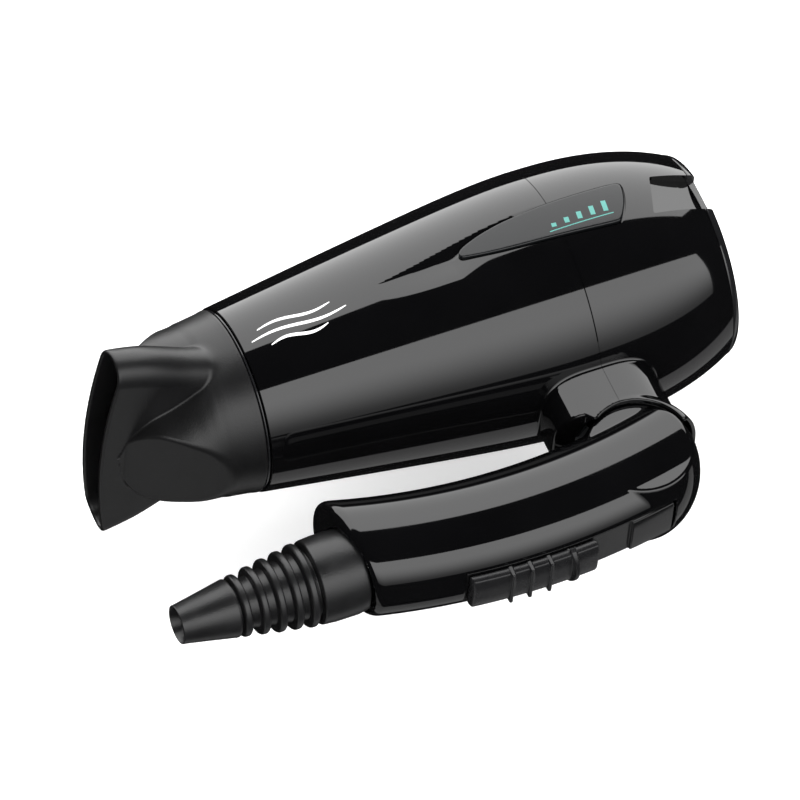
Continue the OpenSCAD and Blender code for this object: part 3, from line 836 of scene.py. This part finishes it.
marks = {}
for sign, tag in ((1, "left"), (-1, "right")):
    parts = []
    for k, (z0, xa, xb) in enumerate(((2.6, -95, -72), (-0.6, -98, -68), (-3.8, -93, -75))):
        s = np.linspace(0, 1, 40)
        x = xa + (xb - xa) * s
        z = z0 + 0.9 * np.sin(s * 2 * math.pi)
        w = 0.25 + 0.75 * np.sin(np.pi * s) ** 0.7
        parts.append(stroke("wave", np.stack([x, z], 1), w, sign, 0.0, 0.03))
    marks["airflow_" + tag] = join("airflow_mark_" + tag, *parts)
    parts = []
    for k in range(5):
        x = -1.5 + 4.2 * k
        hgt = 1.3 + 0.62 * k
        z = np.linspace(-0.9 + 0.05 * k, -0.9 + 0.05 * k + hgt, 4)
        parts.append(stroke("bar", np.stack([np.full(4, x) + 0.12 * (z + 0.9), z], 1), 1.5, sign, 0.38, 0.03))
    x = np.linspace(-3.5, 17.2, 12)
    parts.append(stroke("line", np.stack([x, np.full(12, -2.05) + 0.012 * x], 1), 0.32, sign, 0.38, 0.03))
    marks["power_" + tag] = join("power_mark_" + tag, *parts)


# ---- slider and switch plate, drawn along the handle's arc -----------------------------------------------
def arc_map(Q):
    """(arc length from x = -40 at the centreline's outer face, y, n) to design points"""
    a = Q[:, 0] / (AR + 17) - math.pi / 2
    r = AR + Q[:, 2]
    return np.stack([AX + r * np.cos(a), Q[:, 1], AZ + r * np.sin(a)], 1)


def arc_s(x, n=17):
    return arc_ang(x, n) * (AR + 17)


S0, S1 = arc_s(-63, 18.4), arc_s(-23, 18.4)


def slider_field(Q):
    s, y, n = Q[:, 0], Q[:, 1], Q[:, 2]
    # stands a little prouder than its base
    n = n - 1.0 * np.clip((n - 16.3) / 2.2, 0, 1)
    crown = 18.4 - 0.9 * (np.abs(y) / 6.6) ** 4
    body = smax(np.maximum(16.05 - n, n - crown), np.abs(y) - 6.6, 0.8)
    # the front end slopes a little
    body = smax(body, np.maximum(S0 - 0.9 - s + 0.5 * (n - 16), s - S1), 0.7)
    f = body
    for x in (-51, -45, -38.8):
        c = arc_s(x, 18.4)
        q = np.sqrt((s - c) ** 2 + np.maximum(np.abs(n - 16.8) - 1.9, 0) ** 2)
        rib = smax(np.sqrt((s - c) ** 2 + np.maximum(n - 18.55, 0) ** 2) - 0.62, np.abs(y) - 6.95, 0.5)
        rib = smax(rib, 16.1 - n, 0.3)
        f = smin(f, rib, 0.45)
    c = arc_s(-31.3, 18.4) + 0.035 * (n - 17) ** 2
    rad = np.sqrt(y * y + (n - 11.55) ** 2) - 9.3
    fin = smax(np.abs(s - c) - (0.95 - 0.11 * (n - 17)), rad, 0.5)
    low = 17.0 * np.maximum(1 - np.minimum(np.abs(y) / 15.7, 1) ** 3, 0) ** (1 / 3) + 0.35
    fin = smax(fin, np.where(np.abs(y) < 6.6, 16.1, low) - n, 0.3)
    f = smin(f, fin, 0.5)
    shank = np.maximum(np.maximum(np.abs(s - arc_s(-43.5)) - 1.9, np.abs(y) - 1.6), np.maximum(11.8 - n, n - 16.4))
    return smin(f, shank, 0.2)


P, F = surface_net(slider_field, (S0 - 1.2, -9.0, 11.2), (S1 + 1.2, 9.1, 23.4), 0.3)
gr = field_grad(slider_field, P, 0.01)
slider = make("switch_slider_visual", arc_map(P), F)
outward(slider)
e = 1e-3
J = np.stack([(arc_map(P + e * np.eye(3)[k]) - arc_map(P - e * np.eye(3)[k])) / (2 * e) for k in range(3)], 2)
N = np.einsum("nij,nj->ni", J, gr)
N /= np.linalg.norm(N, axis=1, keepdims=True)
me = slider.data
me.normals_split_custom_set_from_vertices(vec_row(N).tolist())

PL0, PL1 = arc_s(-64.1, 15.7), arc_s(3.4, 15.7)
ST0 = arc_s(-10.8, 16.9)


def plate_field(Q):
    s, y, n = Q[:, 0], Q[:, 1], Q[:, 2]
    plate = np.maximum(np.maximum(14.15 - n, n - 15.7), np.abs(y) - 7.0)
    strip_top = 17.0 - 0.25 * (np.abs(y) / 7) ** 3
    strip = smax(np.maximum(14.15 - n, n - strip_top), np.abs(y) - 7.0, 0.5)
    strip = smax(strip, ST0 - s, 0.5)
    f = smin(plate, strip, 0.3)
    f = smax(f, np.maximum(PL0 - s, s - PL1), 0.4)
    slot = np.maximum(np.maximum(arc_s(-47.5) - s, s - arc_s(-27)), np.abs(y) - 2)
    f = smax(f, -slot, 0.3)
    grip = smax(np.maximum(ST0 + 1.6 - s, s - ST0 - 5.2), np.abs(y) - 3.2, 0.6)
    return f


P, F = surface_net(plate_field, (PL0 - 1, -7.7, 13.6), (PL1 + 1, 7.8, 17.6), 0.35)
gr = field_grad(plate_field, P, 0.01)
plate = make("switch_plate_visual", arc_map(P), F)
outward(plate)
J = np.stack([(arc_map(P + e * np.eye(3)[k]) - arc_map(P - e * np.eye(3)[k])) / (2 * e) for k in range(3)], 2)
N = np.einsum("nij,nj->ni", J, gr)
N /= np.maximum(np.linalg.norm(N, axis=1, keepdims=True), 1e-9)
plate.data.normals_split_custom_set_from_vertices(vec_row(N).tolist())


# ---- materials ----------------------------------------------------------------------------------------------
def material(name, color, rough, var=0.0, rough_var=0.0, scale=60.0, bump=0.0, bump_scale=900.0, metallic=0.0, coat=0.0,
             spec=0.5, aniso=None, ior=1.5, detail=6.0):
    m = bpy.data.materials.new(name)
    m.use_nodes = True
    nt = m.node_tree
    p = nt.nodes["Principled BSDF"]
    p.inputs["Metallic"].default_value = metallic
    p.inputs["IOR"].default_value = ior
    p.inputs["Specular IOR Level"].default_value = spec
    p.inputs["Coat Weight"].default_value = coat
    p.inputs["Coat Roughness"].default_value = 0.03
    tc = nt.nodes.new("ShaderNodeTexCoord")
    n1 = nt.nodes.new("ShaderNodeTexNoise")
    n1.inputs["Scale"].default_value = scale
    n1.inputs["Detail"].default_value = detail
    nt.links.new(tc.outputs["Object"], n1.inputs["Vector"])
    ramp = nt.nodes.new("ShaderNodeValToRGB")
    c = np.array(color)
    ramp.color_ramp.elements[0].position = 0.3
    ramp.color_ramp.elements[1].position = 0.7
    ramp.color_ramp.elements[0].color = (*(c * (1 - var)), 1)
    ramp.color_ramp.elements[1].color = (*np.minimum(c * (1 + var), 1), 1)
    nt.links.new(n1.outputs["Fac"], ramp.inputs["Fac"])
    nt.links.new(ramp.outputs["Color"], p.inputs["Base Color"])
    mr = nt.nodes.new("ShaderNodeMapRange")
    mr.inputs["From Min"].default_value = 0.3
    mr.inputs["From Max"].default_value = 0.7
    mr.inputs["To Min"].default_value = max(0.0, rough - rough_var)
    mr.inputs["To Max"].default_value = rough + rough_var
    nt.links.new(n1.outputs["Fac"], mr.inputs["Value"])
    nt.links.new(mr.outputs["Result"], p.inputs["Roughness"])
    if bump:
        n2 = nt.nodes.new("ShaderNodeTexNoise")
        n2.inputs["Scale"].default_value = bump_scale
        n2.inputs["Detail"].default_value = 3
        nt.links.new(tc.outputs["Object"], n2.inputs["Vector"])
        b = nt.nodes.new("ShaderNodeBump")
        b.inputs["Strength"].default_value = bump
        b.inputs["Distance"].default_value = 0.0002
        nt.links.new(n2.outputs["Fac"], b.inputs["Height"])
        nt.links.new(b.outputs["Normal"], p.inputs["Normal"])
    return m


M = {
    "gloss": material("gloss_black", (0.0016, 0.0016, 0.0018), 0.045, 0.15, 0.012, 40, 0.0, coat=0.0),
    "inlay": material("inlay_grey", (0.005, 0.0055, 0.006), 0.13, 0.08, 0.03, 220, 0.06, 2600, spec=0.34),
    "nozzle": material("nozzle_satin", (0.005, 0.005, 0.0053), 0.35, 0.12, 0.03, 90, 0.22, 2400, spec=0.36),
    "collar": material("collar_gloss", (0.010, 0.010, 0.011), 0.10, 0.1, 0.02, 60),
    "relief": material("relief_rubber", (0.006, 0.006, 0.0064), 0.34, 0.15, 0.05, 120, 0.25, 2200, spec=0.42),
    "switch": material("switch_satin", (0.007, 0.007, 0.0075), 0.26, 0.12, 0.04, 150, 0.15, 2400, spec=0.36),
    "plate": material("plate_gloss", (0.003, 0.003, 0.0032), 0.12, 0.12, 0.03, 150, 0.0, spec=0.36),
    "grille": material("grille_gloss", (0.006, 0.006, 0.0065), 0.09, 0.12, 0.03, 60),
    "outlet": material("outlet_matte", (0.02, 0.02, 0.02), 0.55, 0.2, 0.05, 120, 0.3, 1800),
    "mica": material("mica", (0.55, 0.45, 0.28), 0.45, 0.25, 0.1, 90, 0.4, 700),
    "coil": material("coil_wire", (0.45, 0.44, 0.43), 0.35, 0.2, 0.1, 300, 0.3, 3000, metallic=1.0),
    "steel": material("zinc_steel", (0.6, 0.6, 0.6), 0.3, 0.1, 0.08, 200, 0.1, 2000, metallic=1.0),
    "nylon": material("natural_nylon", (0.70, 0.66, 0.58), 0.42, 0.06, 0.05, 80, 0.2, 1500),
    "magnet": material("ferrite", (0.06, 0.06, 0.065), 0.6, 0.2, 0.1, 200, 0.3, 1600),
    "copper": material("enamelled_copper", (0.50, 0.20, 0.07), 0.3, 0.2, 0.08, 400, 0.4, 2600, metallic=0.9),
    "board": material("circuit_board", (0.03, 0.16, 0.06), 0.35, 0.15, 0.05, 150, 0.15, 1500),
    "lead": material("silicone_lead", (0.30, 0.02, 0.02), 0.45, 0.1, 0.05, 150, 0.1, 1500),
    "bracket": material("glass_nylon", (0.04, 0.043, 0.046), 0.5, 0.2, 0.08, 220, 0.3, 1800),
    "filter": material("woven_filter", (0.25, 0.26, 0.27), 0.4, 0.2, 0.1, 400, 0.3, 2600, metallic=0.8),
    "white": material("mark_white", (0.80, 0.80, 0.80), 0.45, 0.04, 0.05, 300, 0.1, 2600),
    "teal": material("mark_teal", (0.05, 0.235, 0.205), 0.45, 0.06, 0.05, 300, 0.1, 2600),
}
CAD = {
    "outlet_ring": "outlet", "mica_tube": "mica", "mica_board_vertical": "mica", "mica_board_horizontal": "mica",
    "heater_coil": "coil", "thermal_cutout": "steel", "fan_duct": "nylon", "motor_can": "steel", "motor_end_cap": "bracket",
    "motor_magnets": "magnet", "rectifier_board": "board", "shell_screws": "steel", "hinge_bracket": "bracket",
    "barrel_leads": "lead", "inlet_filter": "filter", "fan": "nylon", "motor_shaft": "steel", "armature": "copper",
    "switch_unit": "bracket", "cord_clamp": "bracket", "clamp_screws": "steel", "handle_screws": "steel", "handle_leads": "lead",
}
for node, key in CAD.items():
    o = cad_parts[node]
    if not o.data.materials:
        o.data.materials.append(M[key])
    for i in range(len(o.material_slots)):
        o.material_slots[i].material = M[key]


def finish_piece(ob, key, body, node=None):
    ob.data.materials.clear()
    ob.data.materials.append(M[key])
    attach(ob, body)
    if node:
        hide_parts(node)


finish_piece(front, "gloss", "barrel", "front_shell")
finish_piece(rear, "gloss", "barrel", "rear_shell")
finish_piece(inlay_l, "inlay", "barrel", "side_inlay_left")
finish_piece(inlay_r, "inlay", "barrel", "side_inlay_right")
finish_piece(h_l, "gloss", "handle", "handle_left")
finish_piece(h_r, "gloss", "handle", "handle_right")
finish_piece(nozzle, "nozzle", "nozzle", "nozzle")
finish_piece(collar, "collar", "nozzle_collar", "nozzle_collar")
finish_piece(relief, "relief", "handle", "strain_relief")
finish_piece(rim, "grille", "rear_grille", "rear_grille")
finish_piece(slider, "switch", "switch_slider", "switch_slider")
finish_piece(plate, "plate", "handle", "switch_plate")
for k, ob in marks.items():
    finish_piece(ob, "white" if k.startswith("air") else "teal", "barrel")

# ---- camera, floor and light --------------------------------------------------------------------------------
scene = bpy.context.scene
right = Vector((0.9150, -0.3972, 0.0724)).normalized()
up = Vector((0.2888, 0.7695, 0.5696))
up = (up - right * up.dot(right)).normalized()
back = right.cross(up).normalized()
target = Vector(to_row(np.zeros((1, 3)))[0]) - right * 0.0437 - up * 0.0293
dist = 8.0
cam_data = bpy.data.cameras.new("camera")
cam_data.sensor_width = 36
cam_data.lens = 36 * dist / 0.2370
cam_data.clip_end = 60
cam = bpy.data.objects.new("camera", cam_data)
scene.collection.objects.link(cam)
from mathutils import Matrix
rot = Matrix((right, up, back)).transposed()
cam.matrix_world = Matrix.Translation(target + back * dist) @ rot.to_4x4()
scene.camera = cam

fl = bpy.data.meshes.new("floor")
fl.from_pydata([(-6, -6, 0), (6, -6, 0), (6, 6, 0), (-6, 6, 0)], [], [(0, 1, 2, 3)])
floor = bpy.data.objects.new("floor", fl)
floor.location.z = -0.0005
scene.collection.objects.link(floor)
fm = bpy.data.materials.new("floor_pale")
fm.use_nodes = True
fb = fm.node_tree.nodes["Principled BSDF"]
fb.inputs["Base Color"].default_value = (0.8, 0.8, 0.8, 1)
fb.inputs["Roughness"].default_value = 0.9
fb.inputs["Emission Color"].default_value = (1, 1, 1, 1)
fb.inputs["Emission Strength"].default_value = 0.42
fb.inputs["Specular IOR Level"].default_value = 0.1
fl.materials.append(fm)
floor.visible_glossy = False


def softbox(name, direction, width, length, distance, radiance, shift=0.0, fade=None):
    """long rectangle parallel to the barrel, facing it"""
    d = Vector(direction).normalized()
    L = bpy.data.lights.new(name, "AREA")
    L.shape = "RECTANGLE"
    L.size = length
    L.size_y = width
    L.energy = radiance * math.pi * width * length
    if fade:
        L.use_nodes = True
        tree = L.node_tree
        geo = tree.nodes.new("ShaderNodeNewGeometry")
        sep = tree.nodes.new("ShaderNodeSeparateXYZ")
        rmp = tree.nodes.new("ShaderNodeValToRGB")
        tree.links.new(geo.outputs["Parametric"], sep.inputs[0])
        tree.links.new(sep.outputs[1], rmp.inputs["Fac"])
        tree.links.new(rmp.outputs["Color"], tree.nodes["Emission"].inputs["Color"])
        rmp.color_ramp.interpolation = "EASE"
        for e, (pos, v) in zip(rmp.color_ramp.elements, fade):
            e.position = pos
            e.color = (v, v, v, 1)
    o = bpy.data.objects.new(name, L)
    scene.collection.objects.link(o)
    zax = d
    xax = Vector((1, 0, 0))
    yax = zax.cross(xax).normalized()
    m = Matrix((xax, yax, zax)).transposed().to_4x4()
    o.matrix_world = Matrix.Translation(Vector((shift, 0.0, 0.04)) + d * distance) @ m
    return o


def from_zenith(deg):
    a = math.radians(deg)
    return (0, math.sin(a), math.cos(a))


softbox("softbox_low", from_zenith(-58.7), 1.33, 3.0, 1.2, 3.4, 0.45, ((0.0, 0.16), (0.72, 1.0)))
softbox("softbox_high", from_zenith(59.2), 2.0, 3.0, 1.2, 3.6, 0.45)

# a faint strip under the pale floor, seen only in the glossy underside
strip = softbox("softbox_under", (0, -math.sin(math.radians(21.5)), -math.cos(math.radians(21.5))), 0.42, 3.0, 0.9, 0.45, 0.45)

world = bpy.data.worlds.new("studio")
scene.world = world
world.use_nodes = True
nt = world.node_tree
bg = nt.nodes["Background"]
lp = nt.nodes.new("ShaderNodeLightPath")
mix = nt.nodes.new("ShaderNodeMix")
mix.data_type = "RGBA"
mix.inputs[6].default_value = (0.9, 0.9, 0.9, 1)
mix.inputs[7].default_value = (0.012, 0.012, 0.012, 1)
nt.links.new(lp.outputs["Is Glossy Ray"], mix.inputs[0])
nt.links.new(mix.outputs[2], bg.inputs["Color"])
bg.inputs["Strength"].default_value = 1.0
scene.view_settings.view_transform = "Standard"

bpy.context.view_layer.update()
